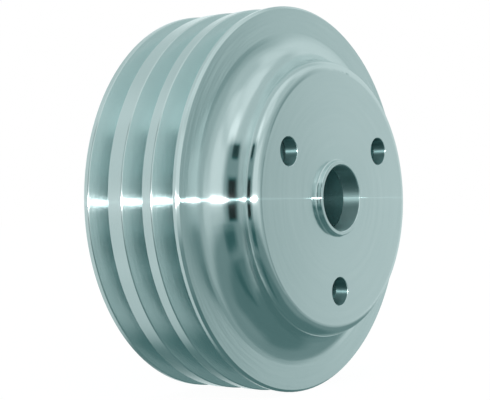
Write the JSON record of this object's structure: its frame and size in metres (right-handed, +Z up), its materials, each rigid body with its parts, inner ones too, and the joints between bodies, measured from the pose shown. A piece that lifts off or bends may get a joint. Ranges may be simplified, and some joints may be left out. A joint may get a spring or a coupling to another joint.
{
  "type": "crankshaft pulley",
  "caption": "One-piece turned aluminium crankshaft pulley: V-belt grooves around a deep cup, a filleted flange, a stepped hub with a locating ring, and a drilled bolt circle.",
  "frame": {"origin": "where the spin axis meets the mounting pad on the closed face of the hub", "axes": "Y is the spin axis: -Y points out of the mounting pad and its locating ring, +Y out of the open cup; +Z is up, with one bolt hole straight down; +X is to the right when the pad is faced"},
  "size_m": [0.1396, 0.0596, 0.1396],
  "materials": {
    "aluminium": "fine-turned, clear satin"
  },
  "bodies": {
    "root": {"pulley": "aluminium"}
  },
  "joints": []
}
